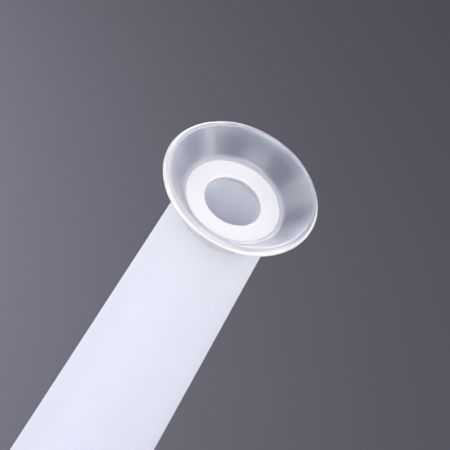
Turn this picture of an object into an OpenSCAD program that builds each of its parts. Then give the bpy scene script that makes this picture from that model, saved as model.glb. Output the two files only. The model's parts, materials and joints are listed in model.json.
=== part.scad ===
// Soft-cup saliva ejector tip with a swivel tail.
// The axis is Z, with the suction cup at the top. Z = 0 is the rear face of
// the stop collar, where the tip seats against the mouth of the ejector valve.
// All sizes are in millimetres.

/* [Overall] */
// Height of the white ring's face above the valve shoulder
ring_z = 71; // [62:0.5:90]

/* [Suction cup] */
// Radius of the rim's outer edge
cup_rim_r = 5.2; // [4.9:0.05:5.6]
// Depth of the cup, from the rim's top to the white ring
cup_depth = 1.75; // [1.4:0.05:2.2]
// Thickness of the flared skirt
cup_wall = 0.5; // [0.35:0.05:0.6]
// Thickness of the washer-like floor under the ring
cup_floor = 0.7; // [0.5:0.05:1]

/* [Ring and sleeve] */
// Radius of the suction bore
bore_r = 1.9; // [1.6:0.05:2]
// Outside radius of the inlet sleeve
sleeve_r = 2.5; // [2.4:0.05:2.6]
// Length of the sleeve below the white ring
sleeve_len = 9; // [6:0.5:12]
// Outside radius of the white ring
flange_r = 3.15; // [3:0.05:3.15]
// Thickness of the white ring
flange_t = 0.5; // [0.4:0.05:0.7]
// Thickness of the ring's inward lip, which caps the sleeve
lip_t = 0.15; // [0.1:0.05:0.25]

/* [Barrel] */
// Outside radius at the tip
tip_r = 3.27; // [3.2:0.01:3.4]
// Outside radius at the nut
tail_r = 5.5; // [5.3:0.05:5.8]
// Radius of the lumen where it leaves the journal bore
lumen_tail_r = 3.75; // [3.5:0.05:3.9]
// Radius of the journal bore at the tail
journal_bore_r = 4; // [3.95:0.01:4.1]
// Radius of the threaded spigot that the nut screws on
thread_r = 5; // [4.9:0.05:5.1]

/* [Swivel tail] */
// Radius of the tube that plugs into the ejector valve
plug_r = 3.25; // [3:0.05:3.3]
// Length of the plug below the shoulder
plug_len = 16.5; // [12:0.5:20]
// Radius of the airway through the tail
airway_r = 2.15; // [1.8:0.05:2.3]
// Running clearance of the journal, on the radius
run_gap = 0.03; // [0.02:0.01:0.06]
// Radius of the thrust flange
thrust_r = 4.6; // [4.4:0.05:4.75]

/* [Nut and collar] */
// Outside radius of the retaining nut
nut_r = 6.5; // [6.2:0.05:7]
// Number of grip flutes round the nut
flutes = 24; // [12:1:30]
// Outside radius of the stop collar
collar_r = 4.9; // [4.6:0.05:5.2]

/* [Strainer] */
// Radius of each hole in the strainer
strainer_hole_r = 0.4; // [0.25:0.05:0.42]
// Distance between neighbouring holes
strainer_pitch = 1.05; // [0.95:0.01:1.1]

/* [Hidden] */
$fn = 96;
// Heights along the axis, from the tail up
collar_h = 2;
nut_z0 = 2.3;
nut_lip = 1;
washer_z0 = nut_z0 + nut_lip;
washer_t = 0.4;
thrust_z0 = washer_z0 + washer_t + 0.04;
thrust_t = 1.12;
barrel_z0 = thrust_z0 + thrust_t + 0.04;
nut_z1 = 10.9;
shoulder_z = 11;
journal_z1 = 12.5;
ledge_z = 13.5;
strainer_t = 0.5;
neck_r = plug_r;
socket_z = 7.4;
relief_h = 0.7;
relief_d = 0.25;
groove_z = 9.6;
groove_floor_r = 2.9;
cord_r = 0.53;
// Heights at the tip
flange_z0 = ring_z - flange_t;
barrel_z1 = flange_z0 - cup_floor;
seat_z = flange_z0 - sleeve_len - 1;
seat_gap = 0.02;

// A point on a quadratic Bezier curve
function bez(a, b, c, t) = (1-t)*(1-t)*a + 2*t*(1-t)*b + t*t*c;
// Points along the curve, with the first end left out where two curves meet
function curve(a, b, c, n, first = 0) = [for (i = [first:n]) bez(a, b, c, i/n)];
// Points of an arc in the r-z plane
function arc(cr, cz, r, a0, a1, n, first = 0) =
    [for (i = [first:n]) let(a = a0 + (a1-a0)*i/n) [cr + r*cos(a), cz + r*sin(a)]];

// A ring of rectangular section
module ring(r0, r1, z0, z1) {
    rotate_extrude() translate([r0, z0]) square([r1-r0, z1-z0]);
}

// The flared skirt and its floor, one soft moulding
module suction_cup() {
    z = ring_z;
    rim_z = z + cup_depth;
    // the lip is the skirt's cut edge, which leans outwards and is rounded over
    lip_in = [cup_rim_r - 0.42, rim_z - 0.05];
    lip_out = [cup_rim_r, rim_z - 0.36];
    hole_r = sleeve_r + 0.01;
    seat_r = flange_r + 0.02;
    inside = concat(
        [[hole_r, barrel_z1 + seat_gap], [hole_r, flange_z0], [seat_r, flange_z0], [seat_r, z - 0.03]],
        curve([seat_r + 0.03, z], [seat_r + 0.2, z + 0.01], [seat_r + 0.3, z + 0.14], 5),
        curve([seat_r + 0.3, z + 0.14], [seat_r + 0.9, z + 0.8], lip_in, 12, 1));
    lip = curve(lip_in, [cup_rim_r - 0.13, rim_z + 0.06], lip_out, 8, 1);
    outside = concat(
        curve(lip_out, [cup_rim_r - 0.04, rim_z - 0.5], [cup_rim_r - 0.24, rim_z - 0.6], 4, 1),
        curve([cup_rim_r - 0.24, rim_z - 0.6],
              [seat_r + 0.9 + cup_wall*0.75, z + 0.75 - cup_wall*0.6],
              [tip_r + 0.26, z - 0.45], 12, 1),
        curve([tip_r + 0.26, z - 0.45], [tip_r + 0.02, z - 0.68], [tip_r, z - 0.95], 5, 1),
        [[tip_r - 0.04, barrel_z1 + seat_gap]]);
    color([0.9, 0.92, 0.96, 0.6]) rotate_extrude() polygon(concat(inside, lip, outside));
}

// The white ring: it caps the sleeve's end and clamps the cup's floor
module nozzle_ring() {
    z = ring_z;
    mouth = lip_t*0.7;
    edge = 0.08;
    profile = concat(
        [[bore_r, z - lip_t], [bore_r, z - mouth]],
        arc(bore_r + mouth, z - mouth, mouth, 180, 90, 8, 1),
        arc(flange_r - edge, z - edge, edge, 90, 0, 5),
        [[flange_r, flange_z0], [sleeve_r + 0.02, flange_z0], [sleeve_r + 0.02, z - lip_t]]);
    color([0.96, 0.95, 0.97]) rotate_extrude() polygon(profile);
}

// Frosted sleeve that lines the hole and plugs into the barrel
module inlet_sleeve() {
    z0 = flange_z0 - sleeve_len;
    z1 = ring_z - lip_t;
    color([0.86, 0.89, 0.96]) rotate_extrude() polygon([
        [bore_r, z0 + 0.25], [bore_r, z1], [sleeve_r, z1],
        [sleeve_r, z0 + 0.35], [sleeve_r - 0.2, z0], [bore_r + 0.2, z0]]);
}

// The tapered frosted tube
module barrel() {
    color([0.88, 0.9, 0.95]) rotate_extrude() polygon([
        [journal_bore_r, barrel_z0], [journal_bore_r, ledge_z],
        [lumen_tail_r, ledge_z], [sleeve_r + 0.02, seat_z],
        [sleeve_r + 0.02, barrel_z1],
        [tip_r - 0.06, barrel_z1], [tip_r, barrel_z1 - 0.06],
        [tail_r, shoulder_z + 0.15], [tail_r - 0.15, shoulder_z],
        [thread_r, shoulder_z],
        [thread_r, barrel_z0 + 0.4], [thread_r - 0.3, barrel_z0]]);
}

// One ring of strainer holes, in rows of a hexagonal grid
module strainer_holes() {
    rows = 3;
    for (q = [-rows:rows], p = [-rows:rows])
        if (abs(p + q) <= rows)
            translate([strainer_pitch*(p + q/2), strainer_pitch*q*sin(60), ledge_z - strainer_t - 1])
                cylinder(r = strainer_hole_r, h = strainer_t + 2, $fn = 24);
}

// Perforated disc that keeps fragments out of the valve
module strainer_disc() {
    color([0.75, 0.76, 0.78]) difference() {
        translate([0, 0, ledge_z - strainer_t]) cylinder(r = journal_bore_r - 0.01, h = strainer_t);
        strainer_holes();
    }
}

// Straight tube whose lower end plugs into the valve. A shallow relief under
// the collar ends the plug's ground length at the shoulder.
module tail_tube() {
    color([0.9, 0.91, 0.92]) rotate_extrude() polygon([
        [airway_r, -plug_len + 0.3], [airway_r, socket_z],
        [plug_r, socket_z], [plug_r, relief_h],
        [plug_r - relief_d, relief_h], [plug_r - relief_d, 0], [plug_r, 0],
        [plug_r, -plug_len + 0.5], [plug_r - 0.5, -plug_len],
        [airway_r + 0.3, -plug_len]]);
}

// Moulded journal bonded on the tube's upper end, with its thrust flange and seal groove
module swivel_journal() {
    top = journal_z1;
    run_r = journal_bore_r - run_gap;
    groove_r = groove_floor_r;
    color([0.9, 0.91, 0.92]) rotate_extrude() polygon([
        [airway_r, socket_z], [airway_r, top - 0.3], [airway_r + 0.3, top],
        [run_r - 0.3, top], [run_r, top - 0.3],
        [run_r, groove_z + 0.7], [groove_r, groove_z + 0.7],
        [groove_r, groove_z - 0.7], [run_r, groove_z - 0.7],
        [run_r, thrust_z0 + thrust_t],
        [thrust_r, thrust_z0 + thrust_t], [thrust_r, thrust_z0],
        [plug_r, thrust_z0], [plug_r, socket_z]]);
}

// Seal between the journal and the barrel
module journal_o_ring() {
    color([0.15, 0.15, 0.17])
        rotate_extrude() translate([groove_floor_r + cord_r + 0.01, groove_z]) circle(r = cord_r, $fn = 48);
}

// Slippery washer between the thrust flange and the nut's lip
module thrust_washer() {
    color([0.95, 0.95, 0.93]) ring(neck_r + 0.15, thread_r - 0.05, washer_z0, washer_z0 + washer_t);
}

// Fluted nut that holds the swivel in the barrel
module retaining_nut() {
    c = 0.5;
    color([0.82, 0.84, 0.87]) difference() {
        rotate_extrude() polygon([
            [neck_r + 0.2, nut_z0], [nut_r - c - 0.3, nut_z0], [nut_r, nut_z0 + c + 0.3],
            [nut_r, nut_z1 - c], [nut_r - c, nut_z1], [thread_r + 0.03, nut_z1],
            [thread_r + 0.03, washer_z0], [neck_r + 0.2, washer_z0]]);
        for (i = [0:flutes-1])
            rotate([0, 0, i*360/flutes]) translate([nut_r + 0.3, 0, nut_z0 + 1.6])
                cylinder(r = 0.52, h = nut_z1 - nut_z0 - 2.8, $fn = 24);
    }
}

// Ring pressed on the tail, which stops it at the valve's mouth
module stop_collar() {
    c = 0.35;
    color([0.82, 0.84, 0.87]) rotate_extrude() polygon([
        [neck_r, 0], [collar_r - c, 0], [collar_r, c],
        [collar_r, collar_h - c], [collar_r - c, collar_h], [neck_r, collar_h]]);
}

suction_cup();
nozzle_ring();
inlet_sleeve();
barrel();
strainer_disc();
tail_tube();
swivel_journal();
journal_o_ring();
thrust_washer();
retaining_nut();
stop_collar();
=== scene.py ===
import json
import math

import bpy
from mathutils import Matrix, Vector


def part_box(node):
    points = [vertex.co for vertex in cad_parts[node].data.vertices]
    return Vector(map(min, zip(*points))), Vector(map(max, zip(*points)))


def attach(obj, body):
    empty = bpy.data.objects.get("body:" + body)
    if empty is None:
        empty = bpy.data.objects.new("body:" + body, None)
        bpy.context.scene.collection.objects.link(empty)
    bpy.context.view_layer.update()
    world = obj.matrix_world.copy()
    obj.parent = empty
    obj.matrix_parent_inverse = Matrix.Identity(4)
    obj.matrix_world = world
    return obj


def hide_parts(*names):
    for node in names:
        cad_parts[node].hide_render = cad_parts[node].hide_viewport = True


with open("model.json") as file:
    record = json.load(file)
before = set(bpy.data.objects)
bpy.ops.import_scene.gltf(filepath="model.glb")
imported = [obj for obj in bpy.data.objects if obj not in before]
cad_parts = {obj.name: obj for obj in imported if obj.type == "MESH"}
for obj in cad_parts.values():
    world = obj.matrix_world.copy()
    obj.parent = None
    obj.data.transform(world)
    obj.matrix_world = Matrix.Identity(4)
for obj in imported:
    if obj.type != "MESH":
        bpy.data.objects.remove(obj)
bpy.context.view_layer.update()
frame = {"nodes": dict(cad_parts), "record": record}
MM = 0.001
R = frame["record"]


def top(node):
    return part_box(node)[1].z / MM


def low(node):
    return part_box(node)[0].z / MM


def wide(node):
    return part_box(node)[1].x / MM


# ---------------------------------------------------------------- mesh tools
def bez(a, b, c, n, first=0):
    out = []
    for i in range(first, n + 1):
        t = i / n
        out.append(tuple((1 - t) ** 2 * a[k] + 2 * t * (1 - t) * b[k] + t * t * c[k] for k in (0, 1)))
    return out


def rounded(corners, steps=6, hold=True):
    """Closed outline from (r, z, fillet) corners, in mm. Each corner becomes an arc, with a holding point on either side."""
    n = len(corners)
    out = []
    for i in range(n):
        p = Vector(corners[i][:2])
        a = Vector(corners[i - 1][:2])
        b = Vector(corners[(i + 1) % n][:2])
        f = corners[i][2]
        if f <= 0:
            out.append(tuple(p))
            continue
        u, v = (a - p), (b - p)
        la, lb = u.length, v.length
        u.normalize()
        v.normalize()
        ang = max(1e-4, min(math.pi - 1e-4, u.angle(v)))
        t = f / math.tan(ang / 2)
        t_max = 0.46 * min(la, lb)
        if t > t_max:
            t = t_max
            f = t * math.tan(ang / 2)
        bis = (u + v).normalized()
        c = p + bis * (f / math.sin(ang / 2))
        s, e = p + u * t, p + v * t
        if hold:
            h = min(0.3 * t + 0.02, 0.2 * la)
            out.append(tuple(p + u * (t + h)))
        v0, v1 = s - c, e - c
        sweep = math.pi - ang
        cross = v0.x * v1.y - v0.y * v1.x
        sign = 1 if cross > 0 else -1
        for k in range(steps + 1):
            w = sign * sweep * k / steps
            out.append((c.x + v0.x * math.cos(w) - v0.y * math.sin(w), c.y + v0.x * math.sin(w) + v0.y * math.cos(w)))
        if hold:
            h = min(0.3 * t + 0.02, 0.2 * lb)
            out.append(tuple(p + v * (t + h)))
    clean = []
    for q in out:
        if not clean or (Vector(q) - Vector(clean[-1])).length > 1e-4:
            clean.append(q)
    if (Vector(clean[0]) - Vector(clean[-1])).length < 1e-4:
        clean.pop()
    return clean


def split_long(pts, longest):
    """Adds points so that no edge of the closed outline is longer than this."""
    out = []
    for i, p in enumerate(pts):
        q = pts[(i + 1) % len(pts)]
        out.append(p)
        d = math.dist(p, q)
        k = int(d // longest)
        for j in range(1, k + 1):
            t = j / (k + 1)
            out.append((p[0] + (q[0] - p[0]) * t, p[1] + (q[1] - p[1]) * t))
    return out


def lathe(name, pts, seg=256, shape=None, slots=None):
    """Turns a closed (r, z) outline in mm round Z. shape(r, z, angle) may move a point a little."""
    area = sum(p[0] * q[1] - q[0] * p[1] for p, q in zip(pts, pts[1:] + pts[:1]))
    if area < 0:
        pts = pts[::-1]
    n = len(pts)
    verts = []
    for r, z in pts:
        for j in range(seg):
            a = 2 * math.pi * j / seg
            rr, zz = (r, z) if shape is None else shape(r, z, a)
            verts.append((rr * MM * math.cos(a), rr * MM * math.sin(a), zz * MM))
    faces = []
    for i in range(n):
        k = (i + 1) % n
        for j in range(seg):
            m = (j + 1) % seg
            faces.append((i * seg + j, i * seg + m, k * seg + m, k * seg + j))
    mesh = bpy.data.meshes.new(name)
    mesh.from_pydata(verts, [], faces)
    mesh.polygons.foreach_set("use_smooth", [True] * len(faces))
    mesh.update()
    ob = bpy.data.objects.new(name, mesh)
    bpy.context.scene.collection.objects.link(ob)
    return ob


# ---------------------------------------------------------------- materials
def material(name, color, rough=0.4, **sockets):
    m = bpy.data.materials.new(name)
    m.use_nodes = True
    nt = m.node_tree
    bsdf = nt.nodes["Principled BSDF"]
    bsdf.inputs["Base Color"].default_value = (*color, 1)
    bsdf.inputs["Roughness"].default_value = rough
    for k, v in sockets.items():
        bsdf.inputs[k.replace("_", " ")].default_value = v
    return m, nt, bsdf


def coords(nt, stretch=(1, 1, 1)):
    tc = nt.nodes.new("ShaderNodeTexCoord")
    mp = nt.nodes.new("ShaderNodeMapping")
    mp.inputs["Scale"].default_value = stretch
    nt.links.new(tc.outputs["Object"], mp.inputs["Vector"])
    return mp.outputs["Vector"]


def noise(nt, vec, scale, detail=3, rough=0.5):
    n = nt.nodes.new("ShaderNodeTexNoise")
    n.inputs["Scale"].default_value = scale
    n.inputs["Detail"].default_value = detail
    n.inputs["Roughness"].default_value = rough
    nt.links.new(vec, n.inputs["Vector"])
    return n.outputs["Fac"]


def ramp(nt, fac, stops):
    r = nt.nodes.new("ShaderNodeValToRGB")
    el = r.color_ramp.elements
    while len(el) < len(stops):
        el.new(0.5)
    for e, (pos, col) in zip(el, stops):
        e.position = pos
        e.color = (*col, 1) if len(col) == 3 else col
    nt.links.new(fac, r.inputs["Fac"])
    return r.outputs["Color"]


def spread(nt, fac, lo, hi, a=0.3, b=0.7):
    r = nt.nodes.new("ShaderNodeMapRange")
    r.inputs["From Min"].default_value = a
    r.inputs["From Max"].default_value = b
    r.inputs["To Min"].default_value = lo
    r.inputs["To Max"].default_value = hi
    nt.links.new(fac, r.inputs["Value"])
    return r.outputs["Result"]


def bump(nt, height, bsdf, strength, distance):
    b = nt.nodes.new("ShaderNodeBump")
    b.inputs["Strength"].default_value = strength
    b.inputs["Distance"].default_value = distance
    nt.links.new(height, b.inputs["Height"])
    nt.links.new(b.outputs["Normal"], bsdf.inputs["Normal"])
    return b


def tinted(color, k):
    return tuple(max(0.0, min(1.0, c * k)) for c in color)


def grained(name, color, rough, vary=0.04, grain=2600, depth=0.00002, strength=0.12, drift=160, rough_vary=0.05, **sockets):
    """Moulded plastic: a slow drift in its colour, a fine grain in its roughness and a faint texture from the mould."""
    m, nt, bsdf = material(name, color, rough, **sockets)
    vec = coords(nt)
    slow = noise(nt, vec, drift, 2)
    nt.links.new(ramp(nt, slow, [(0.3, tinted(color, 1 - vary)), (0.7, tinted(color, 1 + vary))]), bsdf.inputs["Base Color"])
    fine = noise(nt, vec, grain, 4, 0.6)
    nt.links.new(spread(nt, fine, rough - rough_vary, rough + rough_vary), bsdf.inputs["Roughness"])
    if strength > 0:
        bump(nt, fine, bsdf, strength, depth)
    return m


silicone = grained("silicone", (0.82, 0.85, 0.975), 0.315, vary=0.015, grain=1500, strength=0, rough_vary=0.02,
                   Transmission_Weight=0.8, IOR=1.41, Coat_Weight=0.8, Coat_Roughness=0.2, Coat_IOR=1.45)


def math_node(nt, op, a, b, c=None):
    n = nt.nodes.new("ShaderNodeMath")
    n.operation = op
    for i, v in enumerate((a, b, c)):
        if v is None:
            continue
        if isinstance(v, (int, float)):
            n.inputs[i].default_value = v
        else:
            nt.links.new(v, n.inputs[i])
    return n.outputs["Value"]


def smooth(nt, value, a, b, lo, hi):
    n = nt.nodes.new("ShaderNodeMapRange")
    n.interpolation_type = "SMOOTHSTEP"
    n.inputs["From Min"].default_value = a
    n.inputs["From Max"].default_value = b
    n.inputs["To Min"].default_value = lo
    n.inputs["To Max"].default_value = hi
    nt.links.new(value, n.inputs["Value"])
    return n.outputs["Result"]


def milky(m, r_in, z_in, r_out, z_out, root_r, base_z, clear, near_lip, lip, lip_away_from_light, edge, root, milk_color):
    """The skirt is clear in its thin wall. It is milkier at its cut lip, most of all on the lip's outer edge, and at
    its thick root and base round the white ring, because there one looks through more silicone. The lip is made milkier
    still, and so lighter, where the light falls on it: painted light."""
    nt = m.node_tree
    bsdf = nt.nodes["Principled BSDF"]
    tc = nt.nodes.new("ShaderNodeTexCoord")
    flat = nt.nodes.new("ShaderNodeVectorMath")
    flat.operation = "MULTIPLY"
    flat.inputs[1].default_value = (1, 1, 0)
    nt.links.new(tc.outputs["Object"], flat.inputs[0])
    ln = nt.nodes.new("ShaderNodeVectorMath")
    ln.operation = "LENGTH"
    nt.links.new(flat.outputs["Vector"], ln.inputs[0])
    radius = ln.outputs["Value"]
    sep = nt.nodes.new("ShaderNodeSeparateXYZ")
    nt.links.new(tc.outputs["Object"], sep.inputs[0])
    # height above the lip's face, measured square to it
    w = math.hypot(r_out - r_in, z_in - z_out)
    nr, nz = (z_in - z_out) / w, (r_out - r_in) / w
    up = math_node(nt, "MULTIPLY_ADD", sep.outputs["Z"], nz, math_node(nt, "MULTIPLY", radius, nr))
    face = (r_in * nr + z_in * nz) * MM
    wall = smooth(nt, up, face - 1.0 * MM, face - 0.1 * MM, clear, near_lip)
    # painted light: the lip is made milkier, and so lighter, on the half of the cup where the light falls, and clearer
    # on the half away from it
    dot = nt.nodes.new("ShaderNodeVectorMath")
    dot.operation = "DOT_PRODUCT"
    nt.links.new(flat.outputs["Vector"], dot.inputs[0])
    dot.inputs[1].default_value = (math.cos(math.radians(245)), math.sin(math.radians(245)), 0)
    # painted light mask: 1 on the lit half of the cup, 0 on the half away from the light
    painted_lit_half = smooth(nt, math_node(nt, "DIVIDE", dot.outputs["Value"], radius), -0.4, 0.35, 0.0, 1.0)
    on_lip = smooth(nt, up, face - 0.11 * MM, face - 0.03 * MM, 0.0, 1.0)
    depth = math_node(nt, "MULTIPLY_ADD", painted_lit_half, lip - lip_away_from_light, lip_away_from_light - clear)
    at_lip = math_node(nt, "MULTIPLY_ADD", on_lip, depth, clear)
    at_edge = smooth(nt, radius, (r_out - 0.2) * MM, (r_out - 0.12) * MM, clear, edge)
    at_root = smooth(nt, radius, (root_r + 0.05) * MM, (root_r + 0.45) * MM, root, clear)
    at_base = smooth(nt, sep.outputs["Z"], (base_z - 0.3) * MM, (base_z + 0.1) * MM, 0.3, clear)
    least = math_node(nt, "MINIMUM", math_node(nt, "MINIMUM", at_lip, at_edge), math_node(nt, "MINIMUM", at_root, wall))
    least = math_node(nt, "MINIMUM", least, at_base)
    nt.links.new(least, bsdf.inputs["Transmission Weight"])
    # the milky parts are a warmer white than the clear wall
    old = bsdf.inputs["Base Color"].links[0].from_socket
    mix = nt.nodes.new("ShaderNodeMix")
    mix.data_type = "RGBA"
    nt.links.new(smooth(nt, least, edge, clear, 1.0, 0.0), mix.inputs["Factor"])
    nt.links.new(old, mix.inputs[6])
    mix.inputs[7].default_value = (*milk_color, 1)
    nt.links.new(mix.outputs[2], bsdf.inputs["Base Color"])


white = grained("white_ring", (0.905, 0.885, 0.92), 0.42, vary=0.008, grain=3000, strength=0.06, rough_vary=0.04,
                Subsurface_Weight=0.0)
frosted = grained("frosted_tube", (0.75, 0.765, 0.995), 0.52, vary=0.012, grain=2600, strength=0.06, rough_vary=0.05,
                  Subsurface_Weight=1.0, Subsurface_Scale=0.0015)
frosted.node_tree.nodes["Principled BSDF"].inputs["Subsurface Radius"].default_value = (1, 1, 1)
sleeve_m = grained("frosted_sleeve", (0.895, 0.912, 1.0), 0.5, vary=0.01, grain=2600, strength=0.05, rough_vary=0.05,
                   Subsurface_Weight=1.0, Subsurface_Scale=0.0014)
sleeve_m.node_tree.nodes["Principled BSDF"].inputs["Subsurface Radius"].default_value = (1, 1, 1)
tail_m = grained("tail_plastic", (0.84, 0.85, 0.88), 0.36, vary=0.015, strength=0.08)
journal_m = grained("journal_plastic", (0.78, 0.79, 0.82), 0.33, vary=0.015, strength=0.06)
nut_m = grained("nut_plastic", (0.62, 0.66, 0.75), 0.46, vary=0.03, grain=3200, strength=0.22, depth=0.00003)
seal_m = grained("seal_rubber", (0.03, 0.03, 0.034), 0.55, vary=0.15, grain=3500, strength=0.15)
washer_m = grained("slip_washer", (0.84, 0.84, 0.82), 0.5, vary=0.03, grain=1500, strength=0.1)


def steel(name):
    m, nt, bsdf = material(name, (0.62, 0.63, 0.65), 0.32, Metallic=1.0)
    vec = coords(nt, (60, 2600, 60))
    lines = noise(nt, vec, 1.0, 3)
    nt.links.new(ramp(nt, lines, [(0.3, (0.55, 0.56, 0.58)), (0.7, (0.70, 0.71, 0.73))]), bsdf.inputs["Base Color"])
    nt.links.new(spread(nt, lines, 0.24, 0.42), bsdf.inputs["Roughness"])
    bump(nt, lines, bsdf, 0.15, 0.00001)
    return m


steel_m = steel("stainless")

# ---------------------------------------------------------------- the cup end
ring_z = top("nozzle_ring")
rim_z = top("suction_cup")
rim_r = wide("suction_cup")
flange_r = wide("nozzle_ring")
flange_z0 = low("nozzle_ring")
floor_z0 = top("barrel")
tip_r = 3.27
bore_r = [m for m in R["mounts"] if m["name"] == "suction_inlet"][0]["dims"]["r_mm"]
sleeve_r = wide("inlet_sleeve")
cup_wall = 0.5


def cup_outline():
    z = ring_z
    depth = rim_z - z
    seat_r = flange_r + 0.02
    hole_r = sleeve_r + 0.01
    lip_in = (rim_r - 0.42, z + depth - 0.05)
    lip_out = (rim_r, z + depth - 0.36)
    pts = [(hole_r, floor_z0 + 0.02), (hole_r, floor_z0 + 0.06), (hole_r, flange_z0 - 0.08), (hole_r + 0.02, flange_z0 - 0.02),
           (hole_r + 0.08, flange_z0), (seat_r - 0.06, flange_z0), (seat_r, flange_z0 + 0.06), (seat_r, z - 0.08)]
    pts += bez((seat_r, z - 0.03), (seat_r + 0.01, z + 0.01), (seat_r + 0.06, z + 0.015), 6)
    pts += bez((seat_r + 0.06, z + 0.015), (seat_r + 0.2, z + 0.04), (seat_r + 0.32, z + 0.16), 8, 1)
    pts += bez((seat_r + 0.32, z + 0.16), (seat_r + 0.9, z + 0.8), lip_in, 26, 1)
    pts += bez(lip_in, (rim_r - 0.13, z + depth + 0.06), lip_out, 14, 1)
    pts += bez(lip_out, (rim_r - 0.04, rim_z - 0.5), (rim_r - 0.24, rim_z - 0.6), 8, 1)
    pts += bez((rim_r - 0.24, rim_z - 0.6), (seat_r + 0.9 + cup_wall * 0.75, z + 0.75 - cup_wall * 0.6), (tip_r + 0.26, z - 0.45), 26, 1)
    pts += bez((tip_r + 0.26, z - 0.45), (tip_r + 0.02, z - 0.68), (tip_r, z - 0.95), 10, 1)
    pts += [(tip_r, floor_z0 + 0.14)]
    pts += [(tip_r, floor_z0 + 0.08), (tip_r - 0.05, floor_z0 + 0.02), (tip_r - 0.1, floor_z0 + 0.02)]
    return pts


def cup_shape(r, z, a):
    """The soft skirt isn't perfectly true: its rim waves by a few hundredths of a millimetre."""
    t = max(0.0, (r - flange_r - 0.3) / (rim_r - flange_r - 0.3))
    t = t * t
    dz = t * (0.028 * math.sin(2 * a + 0.7) + 0.018 * math.sin(3 * a + 2.1) + 0.010 * math.sin(7 * a + 0.4) - 0.03)
    dr = t * (0.022 * math.sin(2 * a + 1.9) + 0.012 * math.sin(5 * a + 0.3) - 0.034)
    return r + dr, z + dz


cup = lathe("cup_skirt", cup_outline(), 384, cup_shape)
# 0.45 and 0.74 are the lip's milkiness on the lit half of the cup and on the half away from the light; the difference
# between them is painted light
milky(silicone, rim_r - 0.42, rim_z - 0.08, rim_r, rim_z - 0.39, flange_r,
      flange_z0, 0.90, 0.81, 0.45, 0.74, 0.22, 0.48, (0.95, 0.93, 0.965))
cup.data.materials.append(silicone)
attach(cup, "cup")
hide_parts("suction_cup")

lip_t = 0.22
z = ring_z
ring = lathe("white_nozzle_ring", split_long(rounded([
    (bore_r, z - lip_t, 0.03), (bore_r, z, 0.17), (flange_r, z, 0.035), (flange_r, flange_z0, 0.05),
    (sleeve_r + 0.02, flange_z0, 0.04), (sleeve_r + 0.02, z - lip_t, 0.0)], 8), 0.25), 320)
ring.data.materials.append(white)
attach(ring, "cup")
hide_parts("nozzle_ring")

s0, s1 = low("inlet_sleeve"), ring_z - lip_t
sleeve = lathe("inlet_sleeve_tube", split_long(rounded([
    (bore_r, s0, 0.24), (bore_r, s1, 0.04), (sleeve_r, s1, 0.0), (sleeve_r, s0, 0.3)], 8), 0.8), 256)
sleeve.data.materials.append(sleeve_m)
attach(sleeve, "cup")
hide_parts("inlet_sleeve")

# ---------------------------------------------------------------- the barrel
b0, b1 = low("barrel"), top("barrel")
tail_r = wide("barrel")
shoulder_z, ledge_z, lumen_r, bore_j, thread_r = 11.0, 13.5, 3.75, 4.0, 5.0
seat_z = flange_z0 - 9 - 1
tube = lathe("barrel_tube", split_long(rounded([
    (bore_j, b0, 0.15), (bore_j, ledge_z, 0.03), (lumen_r, ledge_z, 0.03), (sleeve_r + 0.02, seat_z, 0.6),
    (sleeve_r + 0.02, b1, 0.03), (tip_r, b1, 0.07), (tail_r, shoulder_z, 0.18), (thread_r, shoulder_z, 0.05),
    (thread_r, b0, 0.3)], 8), 2.0), 320)
tube.data.materials.append(frosted)
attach(tube, "barrel")
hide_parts("barrel")

# ---------------------------------------------------------------- the nut
n0, n1 = low("retaining_nut"), top("retaining_nut")
nut_r = wide("retaining_nut")
FLUTES = 24


def nut_shape(r, z, a):
    """Cuts the flutes: round-bottomed grooves that run out smoothly at both ends."""
    if r < nut_r - 1.0:
        return r, z
    pitch = 2 * math.pi / FLUTES
    da = (a + pitch / 2) % pitch - pitch / 2
    x = abs(da) * nut_r
    cut = 0.0
    rc, reach = nut_r + 0.3, 0.52
    if x < reach:
        edge = rc - math.sqrt(max(0.0, reach * reach - x * x))
        cut = max(0.0, nut_r - edge)
    z0c, z1c = n0 + 1.6, n1 - 1.2
    inside = min(z - z0c, z1c - z)
    w = max(0.0, min(1.0, inside / 0.35 + 0.5))
    w = w * w * (3 - 2 * w)
    room = max(0.0, 1 - max(0.0, nut_r - r) / 0.3)
    return r - cut * w * room, z


nut_pts = split_long(rounded([
    (3.45, n0, 0.08), (nut_r - 0.8, n0, 0.35), (nut_r, n0 + 0.8, 0.35), (nut_r, n1 - 0.5, 0.25), (nut_r - 0.5, n1, 0.25),
    (thread_r + 0.03, n1, 0.08), (thread_r + 0.03, n0 + 1.0, 0.05), (3.45, n0 + 1.0, 0.08)], 8), 0.18)
nut = lathe("retaining_nut_fluted", nut_pts, FLUTES * 20, nut_shape)
nut.data.materials.append(nut_m)
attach(nut, "barrel")
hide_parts("retaining_nut")

w0, w1 = low("thrust_washer"), top("thrust_washer")
wash = lathe("thrust_washer_ring", rounded([
    (3.4, w0, 0.04), (wide("thrust_washer"), w0, 0.04), (wide("thrust_washer"), w1, 0.04), (3.4, w1, 0.04)], 4), 160)
wash.data.materials.append(washer_m)
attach(wash, "barrel")
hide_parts("thrust_washer")

disc = frame["nodes"]["strainer_disc"]
disc.data.materials.clear()
disc.data.materials.append(steel_m)

# ---------------------------------------------------------------- the tail
t0, t1 = low("tail_tube"), top("tail_tube")
plug_r = wide("tail_tube")
air = [m for m in R["mounts"] if m["name"] == "suction_outlet"][0]["dims"]["r_mm"]
tail = lathe("tail_plug_tube", split_long(rounded([
    (air, t0, 0.28), (air, t1, 0.0), (plug_r, t1, 0.0), (plug_r, 0.7, 0.03), (plug_r - 0.25, 0.7, 0.03), (plug_r - 0.25, 0.0, 0.03),
    (plug_r, 0.0, 0.03), (plug_r, t0 + 0.5, 0.35), (plug_r - 0.5, t0, 0.2)], 7), 1.0), 256)
tail.data.materials.append(tail_m)
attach(tail, "tail")
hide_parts("tail_tube")

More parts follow.
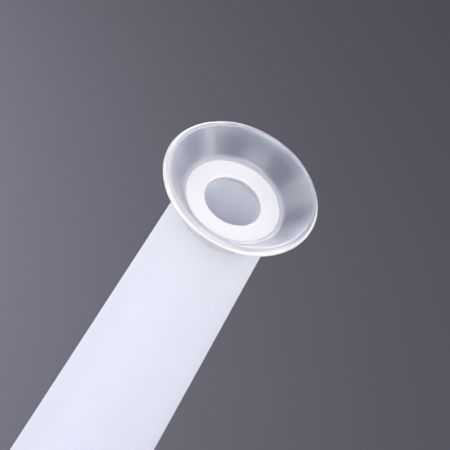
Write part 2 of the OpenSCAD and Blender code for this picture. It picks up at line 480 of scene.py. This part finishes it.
j0, j1 = low("swivel_journal"), top("swivel_journal")
thrust_r = wide("swivel_journal")
run_r = 3.97
gz = 0.5 * (low("journal_o_ring") + top("journal_o_ring"))
jr = lathe("swivel_journal_turned", split_long(rounded([
    (air, t1, 0.0), (air, j1, 0.25), (run_r, j1, 0.28), (run_r, gz + 0.7, 0.06), (2.9, gz + 0.7, 0.12), (2.9, gz - 0.7, 0.12),
    (run_r, gz - 0.7, 0.06), (run_r, j0 + 1.12, 0.1), (thrust_r, j0 + 1.12, 0.12), (thrust_r, j0, 0.12), (plug_r, j0, 0.0),
    (plug_r, t1, 0.0)], 6), 0.8), 256)
jr.data.materials.append(journal_m)
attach(jr, "tail")
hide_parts("swivel_journal")

orr = wide("journal_o_ring")
cord = 0.53
ocir = [(orr - cord + cord * math.cos(t * math.pi / 16), gz + cord * math.sin(t * math.pi / 16)) for t in range(32)]
oring = lathe("journal_seal", ocir, 192)
oring.data.materials.append(seal_m)
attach(oring, "tail")
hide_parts("journal_o_ring")

c0, c1 = low("stop_collar"), top("stop_collar")
cr = wide("stop_collar")
collar = lathe("stop_collar_ring", split_long(rounded([
    (plug_r, c0, 0.06), (cr - 0.35, c0, 0.2), (cr, c0 + 0.35, 0.2), (cr, c1 - 0.35, 0.2), (cr - 0.35, c1, 0.2), (plug_r, c1, 0.06)], 8), 0.4), 256)
collar.data.materials.append(nut_m)
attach(collar, "tail")
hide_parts("stop_collar")

# ---------------------------------------------------------------- floor, light, camera
scene = bpy.context.scene
floor_m, nt, bsdf = material("pale_floor", (0.61, 0.60, 0.71), 0.85)
f = noise(nt, coords(nt), 3.0, 3)
nt.links.new(ramp(nt, f, [(0.3, (0.60, 0.59, 0.70)), (0.7, (0.62, 0.61, 0.72))]), bsdf.inputs["Base Color"])
FLOOR_Z = -0.9
half = 6.0
fm = bpy.data.meshes.new("floor")
fm.from_pydata([(-half, -half, FLOOR_Z), (half, -half, FLOOR_Z), (half, half, FLOOR_Z), (-half, half, FLOOR_Z)], [], [(0, 1, 2, 3)])
floor = bpy.data.objects.new("floor", fm)
scene.collection.objects.link(floor)
fm.materials.append(floor_m)

# The camera's place is given by where the ring's centre and the tube's axis lie in its view
THETA, BETA = math.radians(42.22), math.radians(58.91)
ax = Vector((math.sin(THETA) * math.cos(BETA), math.sin(THETA) * math.sin(BETA), math.cos(THETA)))
rho = math.pi / 2 - BETA
zc = Vector((0, -math.sin(THETA), math.cos(THETA)))
x0 = Vector((1, 0, 0))
y0 = zc.cross(x0)
xc = x0 * math.cos(rho) + y0 * math.sin(rho)
yc = y0 * math.cos(rho) - x0 * math.sin(rho)
rot = Matrix((xc, yc, zc)).transposed()
target = Vector((0, 0, ring_z * MM))
cam_at = target - rot @ (Vector((0.511, 1.551, -177.0)) * MM)
cam_data = bpy.data.cameras.new("camera")
cam_data.lens = 225
cam_data.sensor_width = 36
cam_data.clip_start = 0.005
cam_data.clip_end = 50
cam = bpy.data.objects.new("camera", cam_data)
cam.matrix_world = Matrix.Translation(cam_at) @ rot.to_4x4()
scene.collection.objects.link(cam)
scene.camera = cam


def area(name, at, aim, size, power, color=(1, 1, 1), shape="RECTANGLE", size_y=None):
    d = bpy.data.lights.new(name, "AREA")
    d.shape = shape
    d.size = size
    if size_y:
        d.size_y = size_y
    d.energy = power
    d.color = color
    o = bpy.data.objects.new(name, d)
    o.location = at
    o.rotation_mode = "QUATERNION"
    o.rotation_quaternion = (Vector(aim) - Vector(at)).to_track_quat("-Z", "Y")
    scene.collection.objects.link(o)
    return o


def seen(x, y, zz):
    """A place given along the camera's right, up and back directions from the cup, in metres."""
    return target + xc * x + yc * y + zc * zz


mid = target - Vector((0, 0, 0.02))
# LIGHTS BEGIN
# (name, direction from the cup as right, up and back in the camera's view, watts): a ring of soft panels, as a light tent gives
PANELS = [
    ("panel_left", (-1.0, 0.1, 0.35), 0.45), ("panel_top", (0.05, 1.0, 0.35), 0.112), ("panel_right", (1.0, 0.0, 0.35), 0.435),
    ("panel_low_right", (0.75, -0.7, 0.35), 0.375), ("panel_low_left", (-0.75, -0.7, 0.35), 0.255), ("panel_front", (0.12, 0.12, 1.0), 0.698),
    ("panel_back_top", (0.0, 0.9, -0.55), 1.066), ("panel_back_right", (0.9, 0.1, -0.55), 0.3), ("panel_top_left", (-0.75, 0.7, 0.35), 0.315),
    ("panel_back_left", (-0.9, 0.2, -0.55), 0.074), ("panel_low", (0.0, -1.0, 0.35), 0.225),
]
for name, way, watts in PANELS:
    d = Vector(way).normalized() * 0.32
    area(name, seen(*d), mid, 0.22, watts, size_y=0.22).visible_camera = False
# A low lamp over the floor, to the left of what the camera sees. It faces down, so only the floor gets its light.
way = -zc - xc * 0.24 + yc * 0.03
spot = cam_at + way * ((cam_at.z - FLOOR_Z) / -way.z)
area("floor_wash", spot + Vector((0, 0, 0.3)), spot, 0.2, 0.5, (0.93, 0.93, 1.0)).visible_camera = False
# LIGHTS END
world = bpy.data.worlds.new("studio")
scene.world = world
world.use_nodes = True
world.node_tree.nodes["Background"].inputs["Color"].default_value = (0.30, 0.30, 0.335, 1)
world.node_tree.nodes["Background"].inputs["Strength"].default_value = 0.17
scene.cycles.max_bounces = 20
scene.cycles.diffuse_bounces = 10
scene.cycles.glossy_bounces = 6
scene.cycles.transmission_bounces = 14
scene.view_settings.view_transform = "Standard"
scene.view_settings.look = "None"
